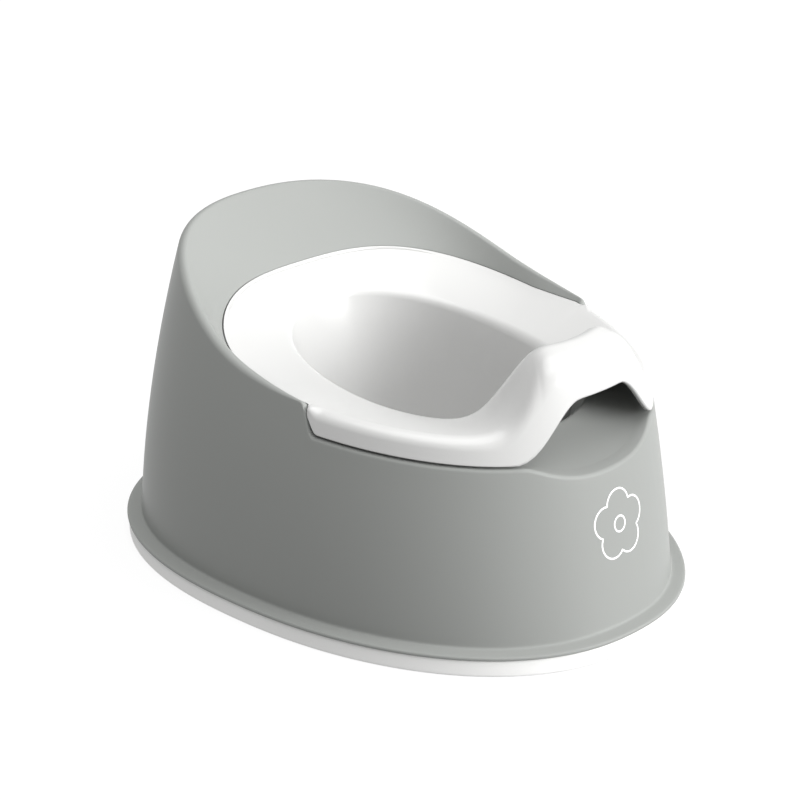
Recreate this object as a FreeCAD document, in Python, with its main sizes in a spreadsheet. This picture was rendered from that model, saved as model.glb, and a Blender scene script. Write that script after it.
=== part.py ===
import FreeCAD, Part
import math
import os

# Child's potty chair: a grey outer shell that stands on a rubber ring, and a white inner potty
# that lifts straight out of it. Millimetres, +Z up, origin on the floor under the middle.
# The front, with the splash guard and the finger opening under it, faces -Y.

V = FreeCAD.Vector
doc = FreeCAD.newDocument("PottyChair")

# ---------------------------------------------------------------- driving sizes

SIZES = {
    # plan outline: a superellipse that is a little wider towards the back
    "outline_power": 2.24,
    "outline_widening": 0.10,
    # wall of the outer shell, from its foot upwards
    "foot_half_width": 126.1,
    "foot_half_length": 166.85,
    "foot_height": 12.3,
    "end_draft": 0.184,           # how far each end leans in, per millimetre of height
    "side_flare": 0.0316,         # the sides lean out at first
    "side_barrel": 0.0010825,     # and curve in above that
    "shell_wall": 2.6,
    # foot flange and the rubber ring under it
    "flange_reach": 8.0,
    "flange_thickness": 2.65,
    "ring_setback": 1.0,
    "ring_lip": 4.0,
    "ring_floor": 3.2,
    # back rest: height of the rim along the length
    "rim_middle_height": 157.9,
    "rim_middle": 55.1,
    "rim_swing": 36.55,
    "rim_spread": 86.1,
    "rim_radius": 3.4,
    "rim_width": 5.5,
    # recess that the seat of the potty drops into
    "rim_land": 9.34,             # from the wall in to the recess, at the sides
    "back_land": 53.64,           # and at the back, where the rest slopes down to the seat
    "seat_splay": 0.010,
    "step_front": -44.0,
    "step_back": -34.0,
    "step_gap": 1.8,              # along the length, where the seat wraps over the step
    "ledge_relief": 3.6,          # extra depth of the recess where the seat's edge curves down
    "relief_front": -20.0,
    "relief_back": 10.0,
    "ledge_height": 114.6,        # side ledge just in front of the step
    "ledge_front_height": 107.6,  # where it reaches the finger opening
    "ledge_front_land": 12.3,     # from the deck's front edge back to where that height is set
    "scoop_half_width": 48.0,
    "scoop_depth": 9.4,
    "scoop_power": 2.5,
    "collar_rise": 2.5,           # the deck's back edge stands up round the bowl
    "front_edge_radius": 2.4,
    "fit_gap": 0.7,               # between the potty and the shell, all round
    "front_reach": 60.0,          # how far cutting shapes stand out in front
    # seat of the inner potty
    "potty_wall": 2.5,
    "shoulder_height": 133.0,
    "shoulder_pitch": 0.08,
    "back_sweep": 0.0022,
    "shoulder_radius": 12.0,
    "mouth_power": 2.15,
    "mouth_middle": -18.0,
    "mouth_half_width": 63.7,
    "mouth_half_length": 87.0,
    "mouth_height": 122.8,
    "mouth_pitch": 0.112,
    "mouth_sweep": 0.00045,
    "mouth_radius": 7.0,
    # bowl
    "bowl_floor": 22.0,
    "bowl_floor_share": 0.74,
    "bowl_centre_share": 0.2,
    "bowl_radius": 26.0,
    "bowl_gap": 5.0,
    # splash guard
    "guard_rise": 48.0,
    "guard_half_width": 33.0,
    "guard_steepness": 10.0,
    "guard_lean": 15.0,
    "brow_rise": 36.0,
    "brow_half_width": 43.0,
    "brow_steepness": 8.0,
    "brow_radius": 30.0,
    # finger opening under the guard
    "arch_height": 138.3,
    "arch_top_half": 15.0,
    "arch_foot_half": 54.0,
    "arch_depth": 50.0,
}

sheet = doc.addObject("Spreadsheet::Sheet", "Sizes")
for row, (alias, value) in enumerate(SIZES.items(), start=1):
    sheet.set("A%d" % row, alias)
    sheet.set("B%d" % row, str(value))
    sheet.setAlias("B%d" % row, alias)
doc.recompute()


def size(alias):
    """A driving size, read back from the sheet."""
    return float(sheet.get(alias))


POWER = size("outline_power")
WIDENING = size("outline_widening")
FOOT = size("foot_height")
WALL = size("shell_wall")
GAP = size("fit_gap")
POTTY_WALL = size("potty_wall")
MOUTH_POWER = size("mouth_power")
TOP = 1.25 * (size("rim_middle_height") + size("rim_swing"))
RIM_CROWN = 0.85      # height of the rim's unrounded corner above its crest, in rim radii
SEAT_COSINE = 0.85    # of the seat's steepest tilt, which makes its wall taller when measured upright
INNER_LIP = 2.9       # depth of the rim's inner corner under its outer one, in wall thicknesses


# ---------------------------------------------------------------- curves of the design

def superellipse(half_width, half_length, angle, power):
    """Point of a superellipse in the direction of angle."""
    c = math.cos(angle)
    s = math.sin(angle)
    reach = (abs(c) ** power + abs(s) ** power) ** (-1.0 / power)
    return half_width * reach * c, half_length * reach * s


def outline(half_width, half_length, angle):
    """Point of the plan outline, which is wider at the back than at the front."""
    x, y = superellipse(half_width, half_length, angle, POWER)
    return x * (1.0 + WIDENING * y / half_length), y


def wall_halves(z, inset=0.0):
    """Half width and half length of the shell's wall at height z."""
    rise = z - FOOT
    width = size("foot_half_width") + size("side_flare") * rise - size("side_barrel") * rise ** 2
    length = size("foot_half_length") - size("end_draft") * rise
    return width - inset, length - inset


def wall_point(z, angle, inset=0.0):
    """Point on the shell's wall."""
    width, length = wall_halves(z, inset)
    x, y = outline(width, length, angle)
    return V(x, y, z)


def settle(height_at, angle, inset=0.0):
    """Point on the wall whose height is a function of its own x and y."""
    point = wall_point(FOOT, angle, inset)
    for _ in range(12):
        point = wall_point(height_at(point.x, point.y), angle, inset)
    return point


def rim_height(y):
    """Height of the back rest's rim."""
    reach = (y - size("rim_middle")) / size("rim_spread")
    return size("rim_middle_height") + size("rim_swing") * math.tanh(reach)


def bell(x, rise, half_width, steepness):
    """A flat-topped bump across the front."""
    return rise / (1.0 + (abs(x) / half_width) ** steepness)


def shoulder_height(x, y):
    """Height at which the seat's top would meet the wall, with the guard's brow at the front."""
    sweep = size("back_sweep") * max(0.0, y) ** 2
    height = size("shoulder_height") + size("shoulder_pitch") * y + sweep
    if y < 0:
        height += bell(x, size("brow_rise"), size("brow_half_width"), size("brow_steepness"))
    return height


def mouth_point(angle):
    """Point of the bowl's mouth, which rises and leans forward over the splash guard."""
    x, y = superellipse(size("mouth_half_width"), size("mouth_half_length"), angle, MOUTH_POWER)
    y += size("mouth_middle")
    z = size("mouth_height") + size("mouth_pitch") * y + size("mouth_sweep") * y ** 2
    if math.sin(angle) < 0:
        guard = size("guard_rise")
        lift = bell(x, guard, size("guard_half_width"), size("guard_steepness"))
        y -= size("guard_lean") * lift / guard
        z += lift
    return V(x, y, z)


SEAT_HALF_WIDTH = wall_halves(size("shoulder_height"))[0] - size("rim_land")
SEAT_BACK = wall_halves(size("shoulder_height"))[1] - size("back_land")
DECK_FRONT = -wall_halves(size("ledge_front_height"))[1]
DECK_BACK = size("mouth_middle") - size("mouth_half_length") - POTTY_WALL - size("bowl_gap")
LEDGE_FRONT = DECK_FRONT + size("ledge_front_land")


# ---------------------------------------------------------------- building blocks

def directions():
    """Directions round the plan, closer together where the rim steps down on each side."""
    step_middle = (size("step_front") + size("step_back")) / 2.0
    step_length = wall_halves(size("ledge_height"))[1]
    step_angle = math.asin(step_middle / step_length)
    spread = math.radians(6.0)
    turns = []
    for i in range(37):
        angle = math.pi / 2 - math.radians(5.0 * i)
        if abs(angle - step_angle) > spread:
            turns.append(angle)
    turns += [step_angle + spread * i / 5.0 for i in range(-4, 5)]
    right = sorted(turns)
    left = [math.pi - angle for angle in reversed(right)]
    return right + left[1:-1]


DIRECTIONS = directions()


def closed_curve(points):
    """Smooth closed curve through one point for each direction."""
    curve = Part.BSplineCurve()
    ends = DIRECTIONS + [DIRECTIONS[0] + 2.0 * math.pi]
    curve.interpolate(Points=points, PeriodicFlag=True, Parameters=ends)
    return Part.Wire(curve.toShape())


def add_shape(name, shape):
    """A document object that holds a shape made with Part's functions."""
    item = doc.addObject("Part::Feature", name)
    item.Shape = shape
    return item


def boolean(kind, name, base, tool):
    """Cut, Fuse or Common of two document objects."""
    item = doc.addObject("Part::" + kind, name)
    item.Base = base
    item.Tool = tool
    item.Refine = False
    return item


def gather(kind, name, shapes):
    """Fuse or common of any number of document objects."""
    item = doc.addObject("Part::" + kind, name)
    item.Shapes = shapes
    item.Refine = False
    return item


def raise_prism(name, wire, bottom, height):
    """Upright solid over a flat wire; bottom and height are formulas on the sheet."""
    base = add_shape(name + "_outline", wire)
    base.setExpression("Placement.Base.z", bottom)
    prism = doc.addObject("Part::Extrusion", name)
    prism.Base = base
    prism.Dir = V(0, 0, 1)
    prism.Solid = True
    prism.setExpression("LengthFwd", height)
    return prism


def plan_wire(inset):
    """Plan outline of the wall's foot, moved inwards by inset."""
    width, length = wall_halves(FOOT, inset)
    return closed_curve([V(*outline(width, length, angle)) for angle in DIRECTIONS])


def bend(before, corner, after, radius, steps=6):
    """Points of the arc that rounds one corner of a broken line."""
    back = before - corner
    ahead = after - corner
    room = 0.48 * min(back.Length, ahead.Length)
    back.normalize()
    ahead.normalize()
    half = back.getAngle(ahead) / 2.0
    reach = min(radius / math.tan(half), room)
    start = corner + back * reach
    end = corner + ahead * reach
    centre = corner + (back + ahead).normalize() * (reach / math.cos(half))
    arc_radius = (start - centre).Length
    points = []
    for i in range(steps):
        share = i / (steps - 1.0)
        spoke = start * (1 - share) + end * share - centre
        points.append(centre + spoke.normalize() * arc_radius)
    return points


def rounded(corners, radii):
    """Broken line whose inner corners are rounded; a corner of radius 0 stays sharp."""
    points = [corners[0]]
    for before, corner, after, radius in zip(corners, corners[1:], corners[2:], radii):
        points += bend(before, corner, after, radius) if radius else [corner]
    return points + [corners[-1]]


# ---------------------------------------------------------------- inner potty: skin

def potty_section(angle):
    """Section of the potty's skin in one direction, from the bowl's floor out to the wall."""
    mouth = mouth_point(angle)
    middle = V(0, size("mouth_middle"), size("bowl_floor"))
    flat_mouth = superellipse(size("mouth_half_width"), size("mouth_half_length"), angle, MOUTH_POWER)
    share = size("bowl_floor_share")
    corner = middle + V(flat_mouth[0] * share, flat_mouth[1] * share, 0)
    centre = size("bowl_centre_share")
    inner = middle + V(flat_mouth[0] * centre, flat_mouth[1] * centre, 0)
    shoulder = settle(shoulder_height, angle)
    front = bell(shoulder.x, 1.0, size("brow_half_width"), size("brow_steepness"))
    if shoulder.y > 0:
        front = 0.0
    radius = size("shoulder_radius")
    radius += (size("brow_radius") - radius) * front
    low = wall_point(shoulder.z - 45.0, angle)
    top = rounded([inner, corner, mouth, shoulder, low],
                  [size("bowl_radius"), size("mouth_radius"), radius])
    drop = (low.z - FOOT) / 5.0
    return top + [wall_point(low.z - drop * i, angle) for i in range(1, 6)]


def offset_sections(sections, distance):
    """The same net of points moved inwards, square to the skin."""
    count = len(sections)
    last = len(sections[0]) - 1
    moved = []
    for i, section in enumerate(sections):
        row = []
        for j, point in enumerate(section):
            along = section[min(j + 1, last)] - section[max(j - 1, 0)]
            across = sections[(i + 1) % count][j] - sections[i - 1][j]
            normal = across.cross(along)
            if j == 0:
                normal = V(0, 0, -1)
            if j == last:
                normal.z = 0
            normal.normalize()
            if j == last:
                normal.z = -1
            row.append(point + normal * distance)
        moved.append(row)
    return moved


def skin_solid(name, sections):
    """Solid under a skin, through one ring for each point of the sections."""
    rings = [closed_curve(list(ring)) for ring in zip(*sections)]
    return add_shape(name, Part.makeLoft(rings, True, True))


potty_sections = [potty_section(angle) for angle in DIRECTIONS]
potty_top = skin_solid("potty_top", potty_sections)
potty_under = skin_solid("potty_under", offset_sections(potty_sections, POTTY_WALL))


# ---------------------------------------------------------------- outer shell

def smooth_step(value, low, high):
    """0 below low, 1 above high, and an S curve between."""
    share = min(1.0, max(0.0, (value - low) / (high - low)))
    return share * share * (3.0 - 2.0 * share)


def mix(front, back, share):
    return front * (1.0 - share) + back * share


def backness(y):
    """0 in front of the step in the rim, 1 behind it."""
    return smooth_step(y, size("step_front"), size("step_back"))


def ledge_line(y):
    """Height of the side ledges that the seat of the potty rests above."""
    slope = (size("ledge_height") - size("ledge_front_height")) / (size("step_front") - LEDGE_FRONT)
    return size("ledge_front_height") + slope * (y - LEDGE_FRONT)


def deck_height(x, y):
    """Height of the ledges, and of the scooped deck in the middle of the front."""
    share = min(1.0, abs(x) / size("scoop_half_width"))
    middle = 1.0 - share ** size("scoop_power")
    forward = min(1.0, max(0.0, (DECK_BACK - y) / (DECK_BACK - DECK_FRONT)))
    rest = (1.0 - forward) ** 2
    drop = size("scoop_depth") * (1.0 - rest) - size("collar_rise") * rest
    return ledge_line(y) - middle * drop


def side_line(y, front_height):
    """Height of the shell's unrounded top edge: the front, then the step, then the rim."""
    rim = rim_height(y) + RIM_CROWN * size("rim_radius")
    return mix(front_height, rim, backness(y))


def recess_measure(x, y):
    """Below 1 inside the recess for the seat, above 1 outside it."""
    if y < 0:
        return abs(x) / (SEAT_HALF_WIDTH - size("seat_splay") * y)
    return ((abs(x) / SEAT_HALF_WIDTH) ** POWER + (y / SEAT_BACK) ** POWER) ** (1.0 / POWER)


def crossing(mouth, shoulder, measure, limit):
    """Place between mouth and shoulder where measure first reaches 1, or the limit."""
    low, high = 0.0, limit
    for _ in range(40):
        share = (low + high) / 2.0
        point = mix(mouth, shoulder, share)
        if measure(point.x, point.y) < 1.0:
            low = share
        else:
            high = share
    return mix(mouth, shoulder, low)


def hole_half(axis, inset=0.0):
    """Half size of the hole that the bowl hangs through."""
    return size("mouth_half_" + axis) + POTTY_WALL + size("bowl_gap") - inset


def shell_section(angle):
    """Closed section of the shell's wall, rim, recess and deck in one direction."""
    shoulder = settle(shoulder_height, angle)
    mouth = mouth_point(angle)
    span = (shoulder - mouth).Length

    peak = settle(lambda x, y: side_line(y, deck_height(x, y)), angle)
    back = backness(peak.y)
    outward = V(shoulder.x - mouth.x, shoulder.y - mouth.y, 0).normalize()

    seat_edge = crossing(mouth, shoulder, recess_measure, 1.0 - size("rim_width") / span)
    deck_edge = wall_point(peak.z, angle, 3.0 * WALL)
    deck_edge.z = deck_height(deck_edge.x, deck_edge.y)
    edge = mix(deck_edge, seat_edge, back)
    sunk_front = deck_edge - outward
    sunk_front.z = deck_height(sunk_front.x, sunk_front.y)
    level = smooth_step(seat_edge.y, size("relief_front"), size("relief_back"))
    depth = POTTY_WALL / SEAT_COSINE + GAP + size("ledge_relief") * (1.0 - level)
    sunk = mix(sunk_front, seat_edge - V(0, 0, depth), back)
    hole_x, hole_y = superellipse(hole_half("width"), hole_half("length"), angle, MOUTH_POWER)
    hole_y += size("mouth_middle")
    flat = V(hole_x - sunk.x, hole_y - sunk.y, 0)
    under = (seat_edge.z - mouth.z) / V(seat_edge.x - mouth.x, seat_edge.y - mouth.y, 0).Length
    deck = []
    for i in range(1, 5):
        place = sunk + flat * (i / 4.0)
        ledge = sunk.z - under * flat.Length * i / 4.0
        place.z = mix(deck_height(place.x, place.y), ledge, back)
        deck.append(place)

    steps = 6
    bottom = size("ring_floor")
    drop = (peak.z - FOOT) / steps
    outside = [wall_point(FOOT, angle) - V(0, 0, FOOT - bottom)]
    outside += [wall_point(FOOT + drop * i, angle) for i in range(steps)]
    peak_inside = wall_point(peak.z - WALL * mix(1.0, INNER_LIP, back), angle, WALL)
    inner_drop = (peak_inside.z - FOOT) / steps
    inside = [wall_point(FOOT + inner_drop * i, angle, WALL) for i in range(steps, -1, -1)]
    inside.append(inside[-1] - V(0, 0, FOOT - bottom))

    radius = mix(size("front_edge_radius"), size("rim_radius"), back)
    top = outside + bend(outside[-1], peak, edge, radius) + [edge, sunk] + deck
    below = [place - V(0, 0, WALL) for place in reversed(deck)]
    below.append(sunk + outward * WALL * back - V(0, 0, WALL))
    below.append(edge + outward * WALL * mix(0.5, 1.0, back) - V(0, 0, WALL * mix(1.0, 0.5, back)))
    return top + below + inside


def ring_solid(name, sections):
    """Solid ring with one closed section in each direction."""
    rings = [closed_curve(list(ring)) for ring in zip(*sections)]
    faces = []
    for first, second in zip(rings, rings[1:] + rings[:1]):
        faces.append(Part.makeRuledSurface(first.Edges[0], second.Edges[0]))
    shell = Part.makeShell(faces)
    shell.sewShape()
    solid = Part.makeSolid(shell)
    if solid.Volume < 0:
        solid.reverse()
    return add_shape(name, solid)


shell_top = ring_solid("shell_top", [shell_section(angle) for angle in DIRECTIONS])


def bowl_hole(inset):
    """Plan of the hole that the bowl hangs through."""
    width = hole_half("width", inset)
    length = hole_half("length", inset)
    points = []
    for angle in DIRECTIONS:
        x, y = superellipse(width, length, angle, MOUTH_POWER)
        points.append(V(x, y + size("mouth_middle"), 0))
    return closed_curve(points)


flange_plate = raise_prism("flange_plate", plan_wire(-size("flange_reach")),
                           "Sizes.foot_height - Sizes.flange_thickness", "Sizes.flange_thickness")
flange_bore = raise_prism("flange_bore", plan_wire(WALL / 2.0), "0", "2 * Sizes.foot_height")
flange = boolean("Cut", "flange", flange_plate, flange_bore)
outer_shell = gather("MultiFuse", "outer_shell", [shell_top, flange])


# ---------------------------------------------------------------- rubber ring under the flange

ring_outside = raise_prism("ring_outside", plan_wire(size("ring_setback") - size("flange_reach")),
                           "0", "Sizes.foot_height - Sizes.flange_thickness")
ring_seat = raise_prism("ring_seat", plan_wire(0.0), "Sizes.ring_floor", "Sizes.foot_height")
ring_bore = raise_prism("ring_bore", plan_wire(size("ring_lip")), "-1", "Sizes.foot_height")
ring_cuts = gather("MultiFuse", "ring_cuts", [ring_seat, ring_bore])
grip_ring = boolean("Cut", "grip_ring", ring_outside, ring_cuts)


# ---------------------------------------------------------------- inner potty

def seat_wire():
    """Plan of the seat inside the back rest, less the fitting gap, with straight sides."""
    width = SEAT_HALF_WIDTH - GAP
    back = SEAT_BACK - GAP
    front = size("step_front")
    half_turn = [math.pi * i / 24 for i in range(25)]
    curve = Part.BSplineCurve()
    curve.interpolate([V(*superellipse(width, back, angle, POWER)) for angle in half_turn])
    wide = SEAT_HALF_WIDTH - size("step_gap") - size("seat_splay") * front
    corners = [V(-width, 0, 0), V(-wide, front, 0), V(wide, front, 0), V(width, 0, 0)]
    sides = [Part.LineSegment(a, b).toShape() for a, b in zip(corners, corners[1:])]
    return Part.Wire([curve.toShape()] + sides)


def arch_edge(x):
    """Height of the upper edge of the finger opening."""
    share = smooth_step(abs(x), size("arch_top_half"), size("arch_foot_half"))
    return mix(size("arch_height"), size("ledge_front_height"), share)


def arch_wire():
    """Front view of the finger opening, carried down well below the seat."""
    half = size("arch_foot_half")
    steps = 24
    across = [half * (2.0 * i / steps - 1.0) for i in range(steps + 1)]
    curve = Part.BSplineCurve()
    curve.interpolate([V(x, 0, arch_edge(x)) for x in across])
    low = size("ledge_front_height") - size("arch_foot_half")
    corners = [V(half, 0, arch_edge(half)), V(half, 0, low), V(-half, 0, low), V(-half, 0, arch_edge(half))]
    sides = [Part.LineSegment(a, b).toShape() for a, b in zip(corners, corners[1:])]
    return Part.Wire([curve.toShape()] + sides)


def side_wire():
    """Side view of all that lies above the shell's ledges and in front of its step, less the gap."""
    gap = size("step_gap")
    front = size("step_front") - gap
    back = size("step_back") - gap
    steps = 10
    places = [front + (back - front) * i / steps for i in range(steps + 1)]
    curve = Part.BSplineCurve()
    curve.interpolate([V(0, y, side_line(y + gap, ledge_line(y + gap)) + GAP) for y in places])
    low = curve.StartPoint
    far = DECK_FRONT - size("front_reach")
    corners = [curve.EndPoint, V(0, back, TOP), V(0, far, TOP), V(0, far, ledge_line(far) + GAP), low]
    sides = [Part.LineSegment(a, b).toShape() for a, b in zip(corners, corners[1:])]
    return Part.Wire([curve.toShape()] + sides)


seat_room = raise_prism("seat_room", seat_wire(), "0", "2 * Sizes.rim_middle_height")
bowl_room = raise_prism("bowl_room", bowl_hole(1.0), "0", "2 * Sizes.rim_middle_height")
potty_space = doc.addObject("Part::Extrusion", "potty_space")
potty_space.Base = add_shape("side_outline", side_wire())
potty_space.Dir = V(1, 0, 0)
potty_space.Symmetric = True
potty_space.Solid = True
potty_space.setExpression("LengthFwd", "4 * Sizes.foot_half_width")
potty_room = gather("MultiFuse", "potty_room", [seat_room, bowl_room, potty_space])
potty_skin = boolean("Cut", "potty_skin", potty_top, potty_under)
potty_body = boolean("Common", "potty_body", potty_skin, potty_room)

ARCH_BACK = ("Sizes.end_draft * (Sizes.ledge_front_height - Sizes.foot_height)"
             " - Sizes.foot_half_length + Sizes.arch_depth / 2")
arch_outline = add_shape("arch_outline", arch_wire())
arch_outline.setExpression("Placement.Base.y", ARCH_BACK)
arch = doc.addObject("Part::Extrusion", "arch")
arch.Base = arch_outline
arch.Dir = V(0, -1, 0)
arch.Solid = True
arch.setExpression("LengthFwd", "Sizes.arch_depth")
inner_potty = boolean("Cut", "inner_potty", potty_body, arch)


# ---------------------------------------------------------------- checks and output

PARTS = {
    "outer_shell": outer_shell,
    "grip_ring": grip_ring,
    "inner_potty": inner_potty,
}

doc.recompute()
for item in doc.Objects:
    if "Invalid" in item.State or "Error" in item.State:
        raise RuntimeError("%s failed: %s" % (item.Name, item.State))
for label, item in PARTS.items():
    item.Label = label
    if item.Shape.isNull() or not item.Shape.isValid():
        raise RuntimeError("%s has no valid shape" % label)
    if len(item.Shape.Solids) != 1:
        raise RuntimeError("%s is %d solids" % (label, len(item.Shape.Solids)))

os.makedirs("parts", exist_ok=True)
for label, item in PARTS.items():
    item.Shape.exportStep("parts/%s.step" % label)
    box = item.Shape.BoundBox
    print("%s: %.0f mm3, %.1f x %.1f x %.1f mm, z %.1f to %.1f"
          % (label, item.Shape.Volume, box.XLength, box.YLength, box.ZLength, box.ZMin, box.ZMax))
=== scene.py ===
import math
import bmesh
import bpy
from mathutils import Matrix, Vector


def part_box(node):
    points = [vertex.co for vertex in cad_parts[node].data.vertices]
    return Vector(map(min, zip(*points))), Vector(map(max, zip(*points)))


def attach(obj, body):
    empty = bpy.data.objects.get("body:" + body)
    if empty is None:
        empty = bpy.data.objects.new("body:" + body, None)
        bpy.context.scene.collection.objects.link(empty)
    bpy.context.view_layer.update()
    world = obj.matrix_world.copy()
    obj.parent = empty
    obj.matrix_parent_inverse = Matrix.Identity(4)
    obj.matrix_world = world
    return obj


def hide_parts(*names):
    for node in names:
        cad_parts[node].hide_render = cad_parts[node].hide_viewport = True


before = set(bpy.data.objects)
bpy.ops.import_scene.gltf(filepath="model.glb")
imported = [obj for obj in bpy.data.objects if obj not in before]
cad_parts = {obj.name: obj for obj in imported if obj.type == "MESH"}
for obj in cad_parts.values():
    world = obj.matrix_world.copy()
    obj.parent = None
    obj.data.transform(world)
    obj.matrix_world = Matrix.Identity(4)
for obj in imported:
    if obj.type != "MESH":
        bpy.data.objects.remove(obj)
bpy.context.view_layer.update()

# A child's potty chair: grey shell on a white rubber ring, white inner potty that lifts out.
# Lengths are millimetres until a vertex is placed; MM turns them into metres.
MM = 0.001

# ------------------------------------------------------------------ sizes from the frame

SHELL_LOW, SHELL_HIGH = (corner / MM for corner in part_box("outer_shell"))
RING_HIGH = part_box("grip_ring")[1] / MM

FLANGE_REACH = 8.0
FLANGE_THICKNESS = 2.65
FLANGE_FALL = 0.5                # the flange's top is this far below the foot at its edge
FLANGE_ROOT_RISE = 0.4           # and this far above it at the wall
FLANGE_LOW_RADIUS = 0.6
FLANGE_TOP_RADIUS = 1.1
ROOT_RADIUS = 1.6
ROOT_REACH = 30.0                # height of wall that the root's rounding is measured against
FOOT_ASPECT = 0.7558             # half width of the foot over its half length
FOOT_HALF_LENGTH = (SHELL_HIGH.y - SHELL_LOW.y) / 2.0 - FLANGE_REACH
FOOT_HALF_WIDTH = FOOT_HALF_LENGTH * FOOT_ASPECT
RING_FLOOR = SHELL_LOW.z
FLANGE_UNDER = RING_HIGH.z
FOOT = FLANGE_UNDER + FLANGE_THICKNESS
WALL = 2.6
RING_SETBACK = 1.0
RING_LIP = 4.0
RING_DRAFT = 0.25
RING_CLEARANCE = 0.2             # between the ring and the shell's skirt

OUTLINE_POWER = 2.24
OUTLINE_WIDENING = 0.10
END_DRAFT = 0.184
SIDE_FLARE = 0.0316
SIDE_BARREL = 0.0010825

RIM_MIDDLE_HEIGHT = 157.9
RIM_MIDDLE = 55.1
RIM_SWING = 36.55
RIM_SPREAD = 86.1
RIM_RADIUS = 3.4
RIM_WIDTH = 3.6
RIM_CROWN = 0.85                 # unrounded edge above the rim's line, in rim radii
RIM_SHOULDER = 5.5               # straight wall stops this far below the edge, in rim radii
INNER_LIP = 2.9                  # inner wall stops this far below the rim's edge, in walls
WALL_START = 4.0                 # straight wall starts this far above the foot

SEAT_HALF_WIDTH = 104.8
SEAT_BACK = 91.0
SEAT_SPLAY = 0.073
SEAT_COSINE = 0.85               # of the seat's slope near its edge
RECESS_RADIUS = 0.7
STEP_FRONT = -44.0
STEP_BACK = -34.0
LEDGE_HEIGHT = 114.6
LEDGE_FRONT_HEIGHT = 107.6
LEDGE_FRONT = -137.0
DECK_BACK = -110.0
DECK_FRONT = -150.0
SCOOP_HALF_WIDTH = 48.0
SCOOP_DEPTH = 9.4
SCOOP_POWER = 2.5
COLLAR_RISE = 2.5
DECK_INSET = 3.0 * WALL
DECK_SHARES = (0.08, 0.3, 0.55, 0.8, 0.97, 1.0)
FRONT_EDGE_RADIUS = 2.4
FIT_GAP = 0.7
STEP_GAP = 2.2
LEDGE_GAP = 1.7

POTTY_WALL = 2.5
SHOULDER_HEIGHT = 133.0
SHOULDER_PITCH = 0.08
BACK_SWEEP = 0.0022
SHOULDER_RADIUS = 12.0
MOUTH_POWER = 2.15
MOUTH_MIDDLE = -18.0
MOUTH_HALF_WIDTH = 63.7
MOUTH_HALF_LENGTH = 87.0
MOUTH_HEIGHT = 122.8
MOUTH_PITCH = 0.112
MOUTH_SWEEP = 0.00045
MOUTH_RADIUS = 7.0
BOWL_FLOOR = 22.0
BOWL_FLOOR_SHARE = 0.74
BOWL_RADIUS = 26.0
BOWL_GAP = 5.0
BOTTOM_SHARES = (0.01, 0.08, 0.18, 0.3)
SIDE_SHARES = (0.35, 0.7, 0.92, 1.0)
SEAT_EDGE_DEPTH = 0.9 * POTTY_WALL
SEAT_EDGE_RADIUS = 0.9
GUARD_RISE = 48.0
GUARD_HALF_WIDTH = 33.0
GUARD_STEEPNESS = 10.0
GUARD_LEAN = 15.0
BROW_RISE = 36.0
BROW_HALF_WIDTH = 43.0
BROW_STEEPNESS = 8.0
BROW_RADIUS = 30.0
ARCH_HEIGHT = 138.3
ARCH_TOP_HALF = 15.0
ARCH_FOOT_HALF = 54.0
ARCH_BACK = -100.0
EDGE_BAND = 3.0
STEP_SOFTENING = 1.5

UP = Vector((0.0, 0.0, 1.0))
BEND_ROOM = 0.48                 # a rounding takes at most this share of the lines it joins
SETTLE_ROUNDS = 14
SEARCH_ROUNDS = 40
COARSE_TURN = 2.0
FINE_TURN = 0.5


# ------------------------------------------------------------------ curves of the design

def mix(first, second, share):
    """first at share 0, second at share 1."""
    return first * (1.0 - share) + second * share


def smooth_step(value, low, high):
    """0 below low, 1 above high, an S curve between."""
    share = min(1.0, max(0.0, (value - low) / (high - low)))
    return share * share * (3.0 - 2.0 * share)


def superellipse(half_width, half_length, angle, power):
    """Point of a superellipse in the direction of angle."""
    c = math.cos(angle)
    s = math.sin(angle)
    reach = (abs(c) ** power + abs(s) ** power) ** (-1.0 / power)
    return half_width * reach * c, half_length * reach * s


def outline(half_width, half_length, angle):
    """Point of the plan outline, wider at the back than at the front."""
    x, y = superellipse(half_width, half_length, angle, OUTLINE_POWER)
    return x * (1.0 + OUTLINE_WIDENING * y / half_length), y


def foot_point(reach, z, angle):
    """Point reach outside the wall's foot, at height z."""
    x, y = outline(FOOT_HALF_WIDTH + reach, FOOT_HALF_LENGTH + reach, angle)
    return Vector((x, y, z))


def wall_point(z, angle, inset=0.0):
    """Point on the shell's wall at height z."""
    rise = z - FOOT
    width = FOOT_HALF_WIDTH + SIDE_FLARE * rise - SIDE_BARREL * rise ** 2 - inset
    length = FOOT_HALF_LENGTH - END_DRAFT * rise - inset
    x, y = outline(width, length, angle)
    return Vector((x, y, z))


def settle(height_at, angle, inset=0.0):
    """Point on the wall whose height is a function of its own x and y."""
    point = wall_point(FOOT, angle, inset)
    for _ in range(SETTLE_ROUNDS):
        point = wall_point(height_at(point.x, point.y), angle, inset)
    return point


def rim_height(y):
    """Height of the back rest's rim."""
    return RIM_MIDDLE_HEIGHT + RIM_SWING * math.tanh((y - RIM_MIDDLE) / RIM_SPREAD)


def bell(x, rise, half_width, steepness):
    """A flat-topped bump across the front."""
    return rise / (1.0 + (abs(x) / half_width) ** steepness)


def backness(y, shift=0.0):
    """0 in front of the step in the rim, 1 behind it."""
    return smooth_step(y + shift, STEP_FRONT, STEP_BACK)


def ledge_line(y):
    """Height of the side ledges that the seat of the potty rests above."""
    slope = (LEDGE_HEIGHT - LEDGE_FRONT_HEIGHT) / (STEP_FRONT - LEDGE_FRONT)
    return LEDGE_FRONT_HEIGHT + slope * (y - LEDGE_FRONT)


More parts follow.
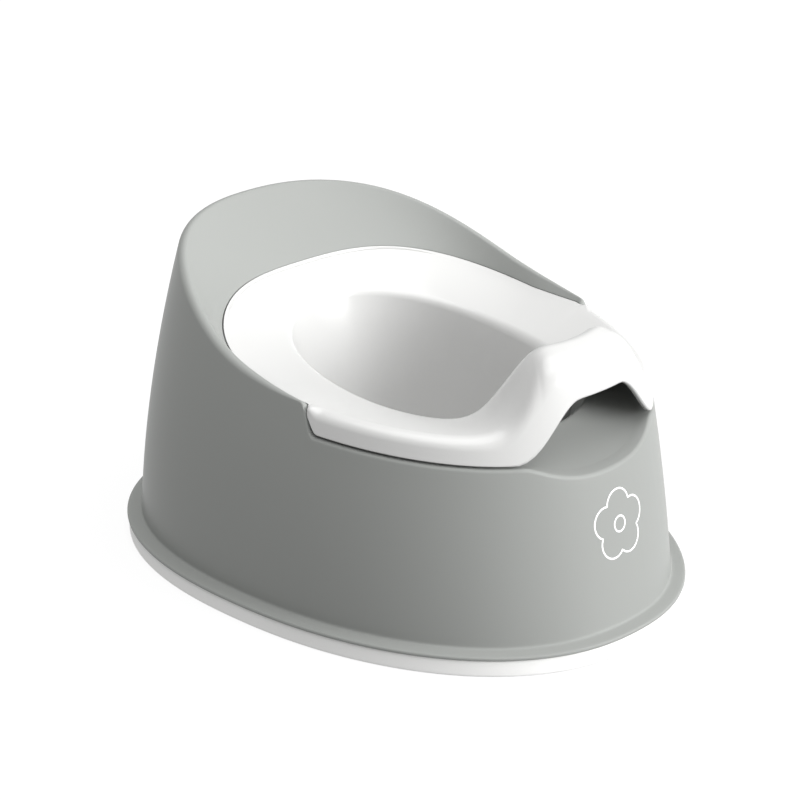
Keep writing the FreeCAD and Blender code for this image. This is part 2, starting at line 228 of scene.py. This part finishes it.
def deck_height(x, y):
    """Height of the ledges, and of the scooped deck in the middle of the front."""
    middle = 1.0 - min(1.0, abs(x) / SCOOP_HALF_WIDTH) ** SCOOP_POWER
    forward = min(1.0, max(0.0, (DECK_BACK - y) / (DECK_BACK - DECK_FRONT)))
    rest = (1.0 - forward) ** 2
    drop = SCOOP_DEPTH * (1.0 - rest) - COLLAR_RISE * rest
    return ledge_line(y) - middle * drop


def shoulder_height(x, y):
    """Height at which the seat's top would meet the wall, with the guard's brow in front."""
    height = SHOULDER_HEIGHT + SHOULDER_PITCH * y + BACK_SWEEP * max(0.0, y) ** 2
    if y < 0:
        height += bell(x, BROW_RISE, BROW_HALF_WIDTH, BROW_STEEPNESS)
    return height


def mouth_point(angle):
    """Point of the bowl's mouth, which rises and leans forward over the splash guard."""
    x, y = superellipse(MOUTH_HALF_WIDTH, MOUTH_HALF_LENGTH, angle, MOUTH_POWER)
    y += MOUTH_MIDDLE
    z = MOUTH_HEIGHT + MOUTH_PITCH * y + MOUTH_SWEEP * y ** 2
    if math.sin(angle) < 0:
        lift = bell(x, GUARD_RISE, GUARD_HALF_WIDTH, GUARD_STEEPNESS)
        y -= GUARD_LEAN * lift / GUARD_RISE
        z += lift
    return Vector((x, y, z))


def recess_measure(x, y):
    """Below 1 inside the recess for the seat, above 1 outside it."""
    if y < 0:
        return abs(x) / (SEAT_HALF_WIDTH - SEAT_SPLAY * y)
    across = (abs(x) / SEAT_HALF_WIDTH) ** OUTLINE_POWER
    along = (y / SEAT_BACK) ** OUTLINE_POWER
    return (across + along) ** (1.0 / OUTLINE_POWER)


def seat_crossing(mouth, shoulder):
    """Place where the seat's top meets the side wall of the recess."""
    low, high = 0.0, 1.0 - RIM_WIDTH / (shoulder - mouth).length
    for _ in range(SEARCH_ROUNDS):
        share = (low + high) / 2.0
        point = mix(mouth, shoulder, share)
        if recess_measure(point.x, point.y) < 1.0:
            low = share
        else:
            high = share
    return mix(mouth, shoulder, low)


def bend(before, corner, after, radius, steps):
    """Points of the arc that rounds one corner of a broken line."""
    back = before - corner
    ahead = after - corner
    room = BEND_ROOM * min(back.length, ahead.length)
    back.normalize()
    ahead.normalize()
    half = back.angle(ahead) / 2.0
    reach = min(radius / math.tan(half), room)
    start = corner + back * reach
    end = corner + ahead * reach
    centre = corner + (back + ahead).normalized() * (reach / math.cos(half))
    arc_radius = (start - centre).length
    points = []
    for i in range(steps):
        share = i / (steps - 1.0)
        spoke = mix(start, end, share) - centre
        points.append(centre + spoke.normalized() * arc_radius)
    return points


def between(first, last, count):
    """count points spaced evenly between first and last, without them."""
    return [mix(first, last, i / (count + 1.0)) for i in range(1, count + 1)]


def directions():
    """Directions round the plan, closer together at the rim's step and at the arch's sides."""
    fine = [(-22.0, -9.0), (-80.0, -68.0)]
    turns = []
    angle = -90.0
    while angle < 90.0:
        turns.append(math.radians(angle))
        close = any(low <= angle < high for low, high in fine)
        angle += FINE_TURN if close else COARSE_TURN
    turns.append(math.radians(90.0))
    left = [math.pi - turn for turn in reversed(turns)]
    return turns + left[1:-1]


DIRECTIONS = directions()


# ------------------------------------------------------------------ modelling helpers

def deselect():
    bpy.ops.object.select_all(action="DESELECT")


def place_ring(piece, ring):
    """Moves the selected ring of vertices onto the given points, in order."""
    mesh = bmesh.from_edit_mesh(piece.data)
    mesh.verts.ensure_lookup_table()
    first = len(mesh.verts) - len(ring)
    for vertex, point in zip(mesh.verts[first:], ring):
        vertex.co = point * MM
    bmesh.update_edit_mesh(piece.data)


def select_rings(piece, rings, count):
    """Selects whole rings of vertices by their number, counted from the first one drawn."""
    mesh = bmesh.from_edit_mesh(piece.data)
    for vertex in mesh.verts:
        vertex.select = vertex.index // count in rings
    mesh.select_flush(True)
    mesh.select_flush(False)
    bmesh.update_edit_mesh(piece.data)


def pull_rings(name, rings):
    """Open skin drawn as a circle and extruded ring by ring; it is left in edit mode."""
    deselect()
    count = len(rings[0])
    bpy.ops.mesh.primitive_circle_add(vertices=count, radius=1.0, fill_type="NOTHING")
    piece = bpy.context.object
    piece.name = name
    piece.data.name = name
    bpy.ops.object.mode_set(mode="EDIT")
    bpy.ops.mesh.select_mode(type="VERT")
    bpy.ops.mesh.select_all(action="SELECT")
    place_ring(piece, rings[0])
    for ring in rings[1:]:
        bpy.ops.mesh.extrude_region_move()
        place_ring(piece, ring)
    return piece


def finish_skin(piece, levels):
    """Turns the faces outwards, leaves edit mode and smooths the skin."""
    bpy.ops.mesh.select_all(action="SELECT")
    bpy.ops.mesh.normals_make_consistent(inside=False)
    bpy.ops.object.mode_set(mode="OBJECT")
    if levels:
        smooth = piece.modifiers.new("smooth", "SUBSURF")
        smooth.levels = levels
        smooth.render_levels = levels
        bpy.ops.object.modifier_apply(modifier=smooth.name)
    bpy.ops.object.shade_smooth()
    deselect()
    return piece


def closed_ring(name, sections):
    """Solid ring with one closed section in each direction."""
    rings = list(zip(*sections))
    piece = pull_rings(name, rings)
    count = len(sections)
    select_rings(piece, {0, len(rings) - 1}, count)
    bpy.ops.mesh.bridge_edge_loops()
    return finish_skin(piece, 1)


def closed_cup(name, sections):
    """Solid whose sections all start and end on the middle line."""
    rings = list(zip(*sections))
    piece = pull_rings(name, rings)
    count = len(sections)
    select_rings(piece, {len(rings) - 1}, count)
    bpy.ops.mesh.merge(type="CENTER")
    select_rings(piece, {0}, count)
    bpy.ops.mesh.merge(type="CENTER")
    return finish_skin(piece, 0)


# ------------------------------------------------------------------ outer shell

def peak_height(x, y):
    """Height of the unrounded top edge of the shell's wall."""
    rim = rim_height(y) + RIM_CROWN * RIM_RADIUS
    return mix(deck_height(x, y), rim, backness(y))


def flange_part(angle):
    """Underside, edge and top of the foot flange, up to the root of the wall."""
    under = foot_point(FLANGE_REACH, FLANGE_UNDER, angle)
    edge = foot_point(FLANGE_REACH, FOOT - FLANGE_FALL, angle)
    root = wall_point(FOOT + FLANGE_ROOT_RISE, angle)
    points = [foot_point(-0.5, FLANGE_UNDER, angle),
              foot_point(FLANGE_REACH - 1.5, FLANGE_UNDER, angle)]
    points += bend(foot_point(FLANGE_REACH - 3.0, FLANGE_UNDER, angle), under,
                   foot_point(FLANGE_REACH, FOOT, angle), FLANGE_LOW_RADIUS, 3)
    points += bend(under, edge, foot_point(0.0, FOOT + FLANGE_ROOT_RISE, angle),
                   FLANGE_TOP_RADIUS, 4)
    points += bend(edge, root, wall_point(FOOT + ROOT_REACH, angle), ROOT_RADIUS, 4)
    return points


def deck_part(angle, sunk, slope, back):
    """Ledge under the seat, or deck in front, from its sunk edge in to the hole for the bowl."""
    hole_x, hole_y = superellipse(MOUTH_HALF_WIDTH + POTTY_WALL + BOWL_GAP,
                                  MOUTH_HALF_LENGTH + POTTY_WALL + BOWL_GAP, angle, MOUTH_POWER)
    flat = Vector((hole_x - sunk.x, hole_y + MOUTH_MIDDLE - sunk.y, 0.0))
    points = []
    for share in DECK_SHARES:
        place = sunk + flat * share
        ledge = sunk.z - slope * flat.length * share
        place.z = mix(deck_height(place.x, place.y), ledge, back)
        points.append(place)
    return points


def inner_part(angle, peak, back):
    """Inside of the wall, and the skirt that goes down into the ring."""
    top = peak.z - WALL * mix(1.0, INNER_LIP, back)
    inside = [wall_point(mix(top, FOOT, i / 7.0), angle, WALL) for i in range(8)]
    skirt_top = foot_point(-WALL, FOOT, angle)
    skirt_inside = foot_point(-WALL, RING_FLOOR, angle)
    return inside + [mix(skirt_top, skirt_inside, 0.9), skirt_inside,
                     foot_point(0.0, RING_FLOOR, angle),
                     foot_point(0.0, mix(RING_FLOOR, FLANGE_UNDER, 0.9), angle)]


def shell_section(angle):
    """Closed section of flange, wall, rim, recess and deck in one direction."""
    shoulder = settle(shoulder_height, angle)
    mouth = mouth_point(angle)
    peak = settle(peak_height, angle)
    back = backness(peak.y)
    outward = Vector((shoulder.x - mouth.x, shoulder.y - mouth.y, 0.0)).normalized()

    seat_edge = seat_crossing(mouth, shoulder)
    deck_edge = wall_point(peak.z, angle, DECK_INSET)
    deck_edge.z = deck_height(deck_edge.x, deck_edge.y)
    edge = mix(deck_edge, seat_edge, back)
    sunk_front = deck_edge - outward
    sunk_front.z = deck_height(sunk_front.x, sunk_front.y)
    sunk = mix(sunk_front, seat_edge - UP * (POTTY_WALL / SEAT_COSINE + FIT_GAP), back)
    seat_run = Vector((seat_edge.x - mouth.x, seat_edge.y - mouth.y, 0.0)).length
    deck = deck_part(angle, sunk, (seat_edge.z - mouth.z) / seat_run, back)

    lowest = FOOT + WALL_START
    rise = peak.z - RIM_SHOULDER * RIM_RADIUS - lowest
    outside = [wall_point(lowest + rise * i / 9.0, angle) for i in range(10)]
    lip = bend(outside[-1], peak, edge, mix(FRONT_EDGE_RADIUS, RIM_RADIUS, back), 8)
    slope = between(lip[-1], edge, 4)
    recess = bend(slope[-1], edge, sunk, RECESS_RADIUS, 3) + [mix(edge, sunk, 0.6), sunk]

    below = [place - UP * WALL for place in reversed(deck)]
    below.append(sunk + outward * WALL * back - UP * WALL)
    below.append(edge + outward * WALL * mix(0.5, 1.0, back) - UP * WALL * mix(1.0, 0.5, back))
    return (flange_part(angle) + outside + lip + slope + recess + deck + below
            + inner_part(angle, peak, back))


def make_shell():
    shell = closed_ring("shell", [shell_section(angle) for angle in DIRECTIONS])
    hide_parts("outer_shell")
    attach(shell, "shell")
    return shell


# ------------------------------------------------------------------ grip ring

def ring_section(angle):
    """Closed section of the rubber ring, an L that holds the shell's skirt."""
    outer = FLANGE_REACH - RING_SETBACK
    rounded = [(foot_point(RING_CLEARANCE, FLANGE_UNDER, angle), 0.3),
               (foot_point(outer, FLANGE_UNDER, angle), 0.7),
               (foot_point(outer + RING_DRAFT, 0.0, angle), 0.9),
               (foot_point(-RING_LIP, 0.0, angle), 0.6),
               (foot_point(-RING_LIP, RING_FLOOR, angle), 0.6),
               (foot_point(RING_CLEARANCE, RING_FLOOR, angle), 0.3)]
    points = []
    for i, (corner, radius) in enumerate(rounded):
        before = rounded[i - 1][0]
        after = rounded[(i + 1) % len(rounded)][0]
        points += bend(before, corner, after, radius, 4)
        points += between(corner, after, 1)
    return points


def make_ring():
    ring = closed_ring("grip", [ring_section(angle) for angle in DIRECTIONS])
    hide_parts("grip_ring")
    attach(ring, "shell")
    return ring


# ------------------------------------------------------------------ inner potty

def lower_edge_height(x, y):
    """Height of the seat's lower edge on the wall: along the ledge, and over the finger opening."""
    ledge = ledge_line(y) + LEDGE_GAP
    if y > ARCH_BACK:
        return mix(ledge, shoulder_height(x, y) - EDGE_BAND, backness(y, STEP_GAP))
    return mix(ARCH_HEIGHT, ledge, smooth_step(abs(x), ARCH_TOP_HALF, ARCH_FOOT_HALF))


def potty_outside(angle):
    """Top skin of the potty in one direction, from the bowl's middle out to the lower edge."""
    mouth = mouth_point(angle)
    middle = Vector((0.0, MOUTH_MIDDLE, BOWL_FLOOR))
    flat_x, flat_y = superellipse(MOUTH_HALF_WIDTH, MOUTH_HALF_LENGTH, angle, MOUTH_POWER)
    floor = Vector((flat_x, flat_y, 0.0))
    corner = middle + floor * BOWL_FLOOR_SHARE
    bottom = [middle + floor * share for share in BOTTOM_SHARES]

    shoulder = settle(shoulder_height, angle)
    low_height = settle(lower_edge_height, angle).z
    low = wall_point(low_height, angle)
    back = smooth_step(low.y + STEP_GAP, STEP_BACK - EDGE_BAND, STEP_BACK + STEP_SOFTENING)
    front = bell(shoulder.x, 1.0, BROW_HALF_WIDTH, BROW_STEEPNESS) if shoulder.y < 0 else 0.0
    radius = mix(SHOULDER_RADIUS, BROW_RADIUS, front)

    floor_bend = bend(middle, corner, mouth, BOWL_RADIUS, 7)
    mouth_bend = bend(corner, mouth, shoulder, MOUTH_RADIUS, 8)
    shoulder_bend = bend(mouth, shoulder, low, radius, 10)
    side = [mix(shoulder_bend[-1], low, share) for share in SIDE_SHARES]
    front_seat = between(mouth_bend[-1], shoulder_bend[0], 5)

    seat_edge = seat_crossing(mouth, shoulder)
    outward = Vector((seat_edge.x - mouth.x, seat_edge.y - mouth.y, 0.0)).normalized()
    seat_edge -= outward * FIT_GAP
    edge_low = seat_edge - UP * SEAT_EDGE_DEPTH
    back_seat = between(mouth_bend[-1], seat_edge, 8)
    back_seat += between(back_seat[-1], seat_edge, 7)
    back_edge = bend(back_seat[-1], seat_edge, edge_low, SEAT_EDGE_RADIUS, 4)
    back_seat = back_seat[:15]

    outer_front = front_seat + shoulder_bend + side
    outer_back = back_seat + back_edge
    outer = [mix(a, b, back) for a, b in zip(outer_front, outer_back)]
    wall = between(floor_bend[-1], mouth_bend[0], 4)
    return bottom + floor_bend + wall + mouth_bend + outer


def thickened(sections, thickness):
    """The same net of points moved in by the wall's thickness, square to the skin."""
    count = len(sections)
    last = len(sections[0]) - 1
    moved = []
    for i, section in enumerate(sections):
        row = []
        for j, point in enumerate(section):
            along = section[min(j + 1, last)] - section[max(j - 1, 0)]
            across = sections[(i + 1) % count][j] - sections[i - 1][j]
            normal = across.cross(along).normalized()
            row.append(point + normal * thickness)
        moved.append(row)
    return moved


def make_potty():
    outside = [potty_outside(angle) for angle in DIRECTIONS]
    inside = thickened(outside, POTTY_WALL)
    sections = [outer + inner[::-1] for outer, inner in zip(outside, inside)]
    potty = closed_cup("potty", sections)
    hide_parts("inner_potty")
    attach(potty, "potty")
    return potty


# ------------------------------------------------------------------ printed mark

MARK_X = 3.0
MARK_Z = 66.0
MARK_RADIUS = 19.0
MARK_STROKE = 0.7
MARK_PROUD = 0.12
MARK_SUNK = 0.5
PETALS = 5
PETAL_ROOT = 0.74                # reach between two petals, as a share of the mark's radius
PETAL_ROUNDNESS = 0.75
HEART_RADIUS = 4.2


def on_wall(across, z, proud):
    """Point on the front of the wall at x = across, standing proud of the surface."""
    low, high = -math.pi, 0.0
    for _ in range(SEARCH_ROUNDS):
        middle = (low + high) / 2.0
        if wall_point(z, middle).x < across:
            low = middle
        else:
            high = middle
    here = wall_point(z, low)
    along = wall_point(z, low + 0.001) - here
    upward = wall_point(z + 0.5, low) - here
    return here + along.cross(upward).normalized() * proud


def mark_ring(name, path):
    """Thin raised line of ink that follows a closed path of (x, z) places on the wall."""
    sections = []
    count = len(path)
    for i, (x, z) in enumerate(path):
        before, after = path[i - 1], path[(i + 1) % count]
        along = Vector((after[0] - before[0], after[1] - before[1])).normalized()
        side_x, side_z = along.y * MARK_STROKE, -along.x * MARK_STROKE
        outer, inner = (x + side_x, z + side_z), (x - side_x, z - side_z)
        sections.append([on_wall(*outer, MARK_PROUD), on_wall(*inner, MARK_PROUD),
                         on_wall(*inner, -MARK_SUNK), on_wall(*outer, -MARK_SUNK)])
    ink = closed_ring(name, sections)
    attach(ink, "shell")
    return ink


def mark_path(count, reach_at):
    """Closed path round the middle of the mark, as far out as reach_at says in each direction."""
    path = []
    for i in range(count):
        turn = 2.0 * math.pi * i / count
        reach = reach_at(turn)
        path.append((MARK_X + reach * math.sin(turn), MARK_Z + reach * math.cos(turn)))
    return path


def petal_reach(turn):
    """Outline of a plain flower with round petals."""
    petal = abs(math.cos(PETALS / 2.0 * turn)) ** PETAL_ROUNDNESS
    return MARK_RADIUS * (PETAL_ROOT + (1.0 - PETAL_ROOT) * petal)


shell = make_shell()
ring = make_ring()
potty = make_potty()
marks = [mark_ring("mark_petals", mark_path(150, petal_reach)),
         mark_ring("mark_heart", mark_path(48, lambda turn: HEART_RADIUS))]


# ------------------------------------------------------------------ materials

class Value:
    """A socket that shader maths can be written with."""

    def __init__(self, shader, socket):
        self.shader = shader
        self.socket = socket

    def maths(self, operation, first, second):
        return self.shader.node("ShaderNodeMath", {"operation": operation}, {0: first, 1: second})

    def __add__(self, other):
        return self.maths("ADD", self, other)

    def __radd__(self, other):
        return self.maths("ADD", other, self)

    def __sub__(self, other):
        return self.maths("SUBTRACT", self, other)

    def __rsub__(self, other):
        return self.maths("SUBTRACT", other, self)

    def __mul__(self, other):
        return self.maths("MULTIPLY", self, other)

    def __rmul__(self, other):
        return self.maths("MULTIPLY", other, self)


class Shader:
    """Builds one node material."""

    def __init__(self, name):
        self.material = bpy.data.materials.new(name)
        self.material.use_nodes = True
        self.tree = self.material.node_tree
        self.surface = self.tree.nodes["Principled BSDF"]

    def set_input(self, node, key, value):
        if isinstance(value, Value):
            self.tree.links.new(value.socket, node.inputs[key])
        else:
            node.inputs[key].default_value = value

    def node(self, kind, settings, inputs, output=0):
        made = self.tree.nodes.new(kind)
        for key, value in settings.items():
            setattr(made, key, value)
        for key, value in inputs.items():
            self.set_input(made, key, value)
        return Value(self, made.outputs[output])

    def noise(self, scale, detail):
        place = self.node("ShaderNodeTexCoord", {}, {}, "Object")
        return self.node("ShaderNodeTexNoise", {}, {"Vector": place, "Scale": scale, "Detail": detail})

    def finish(self, inputs):
        for key, value in inputs.items():
            self.set_input(self.surface, key, value)
        return self.material


COAT_ROUGHNESS = 0.12
GRAIN_STRENGTH = 0.12
CLOUD_SCALE = 9.0


def plastic(name, color, shade, roughness, spread, gloss, coat, grain, height):
    """Moulded plastic: almost even colour, faint wear in its gloss and a very fine grain.

    shade is how much darker the colour gets, spread how far the roughness wanders, gloss the
    mirror level, coat the clear layer, grain and height the scale and depth of the texture.
    """
    shader = Shader(name)
    cloud = shader.noise(CLOUD_SCALE, 3.0)
    fine = shader.noise(grain, 2.0)
    darker = (*[channel * (1.0 - shade) for channel in color], 1.0)
    tint = shader.node("ShaderNodeMix", {"data_type": "RGBA"},
                       {"Factor": cloud, 6: darker, 7: (*color, 1.0)}, 2)
    bump = shader.node("ShaderNodeBump", {},
                       {"Strength": GRAIN_STRENGTH, "Distance": height, "Height": fine})
    return shader.finish({"Base Color": tint, "Roughness": roughness + (cloud - 0.5) * spread,
                          "Coat Weight": coat, "Coat Roughness": COAT_ROUGHNESS, "Normal": bump,
                          "Specular IOR Level": gloss})


shell.data.materials.append(plastic("shell_grey", (0.268, 0.276, 0.266), shade=0.04,
                                    roughness=0.36, spread=0.10, gloss=0.08, coat=0.0,
                                    grain=900.0, height=0.0002))
potty.data.materials.append(plastic("potty_white", (0.53, 0.53, 0.524), shade=0.015,
                                    roughness=0.26, spread=0.08, gloss=0.3, coat=0.1,
                                    grain=700.0, height=0.0001))
ring.data.materials.append(plastic("ring_white", (0.80, 0.80, 0.79), shade=0.03,
                                   roughness=0.55, spread=0.12, gloss=0.3, coat=0.0,
                                   grain=1400.0, height=0.0003))
ink = plastic("ink_white", (0.86, 0.86, 0.86), shade=0.01, roughness=0.4, spread=0.05,
              gloss=0.5, coat=0.0, grain=900.0, height=0.0001)
for mark in marks:
    mark.data.materials.append(ink)


# ------------------------------------------------------------------ floor, light and camera

VIEW_AZIMUTH = math.radians(-44.08)
VIEW_ELEVATION = math.radians(23.11)
VIEW_DISTANCE = 1.2
VIEW_HEIGHT = 0.080
VIEW_RIGHT = -0.00394
VIEW_UP = 0.00842
LENS = 94.76
SENSOR_WIDTH = 36.0
FLOOR_SIZE = 14.0
FLOOR_GREY = 0.12
FLOOR_GLOW = 0.86
ROOM_LIGHT = 0.5


def make_camera():
    back = Vector((math.sin(VIEW_AZIMUTH) * math.cos(VIEW_ELEVATION),
                   -math.cos(VIEW_AZIMUTH) * math.cos(VIEW_ELEVATION),
                   math.sin(VIEW_ELEVATION)))
    right = Vector((math.cos(VIEW_AZIMUTH), math.sin(VIEW_AZIMUTH), 0.0))
    up = back.cross(right)
    bpy.ops.object.camera_add()
    camera = bpy.context.object
    camera.name = "view"
    camera.data.lens = LENS
    camera.data.sensor_width = SENSOR_WIDTH
    camera.location = (Vector((0.0, 0.0, VIEW_HEIGHT)) + back * VIEW_DISTANCE
                       + right * VIEW_RIGHT + up * VIEW_UP)
    camera.rotation_euler = (-back).to_track_quat("-Z", "Y").to_euler()
    bpy.context.scene.camera = camera


def make_floor():
    deselect()
    bpy.ops.mesh.primitive_plane_add(size=FLOOR_SIZE)
    floor = bpy.context.object
    floor.name = "floor"
    shader = Shader("floor_white")
    floor.data.materials.append(shader.finish({
        "Base Color": (FLOOR_GREY, FLOOR_GREY, FLOOR_GREY, 1.0), "Roughness": 0.9,
        "Specular IOR Level": 0.1,
        "Emission Color": (1.0, 1.0, 1.0, 1.0), "Emission Strength": FLOOR_GLOW}))
    floor.visible_diffuse = False


def make_sun(name, azimuth, elevation, strength, spread):
    """Wide soft light from far away, from the given direction."""
    azimuth, elevation = math.radians(azimuth), math.radians(elevation)
    source = Vector((math.cos(azimuth) * math.cos(elevation), math.sin(azimuth) * math.cos(elevation),
                     math.sin(elevation)))
    bpy.ops.object.light_add(type="SUN", location=source * 3.0)
    lamp = bpy.context.object
    lamp.name = name
    lamp.data.energy = strength
    lamp.data.angle = math.radians(spread)
    lamp.rotation_euler = source.to_track_quat("Z", "Y").to_euler()


make_camera()
make_floor()
make_sun("key", azimuth=-62.0, elevation=14.0, strength=4.3, spread=40.0)
make_sun("top", azimuth=-100.0, elevation=80.0, strength=2.6, spread=60.0)
world = bpy.data.worlds.new("studio")
bpy.context.scene.world = world
world.use_nodes = True
background = world.node_tree.nodes["Background"]
background.inputs["Color"].default_value = (1.0, 1.0, 1.0, 1.0)
background.inputs["Strength"].default_value = ROOM_LIGHT
bpy.context.scene.view_settings.view_transform = "Standard"
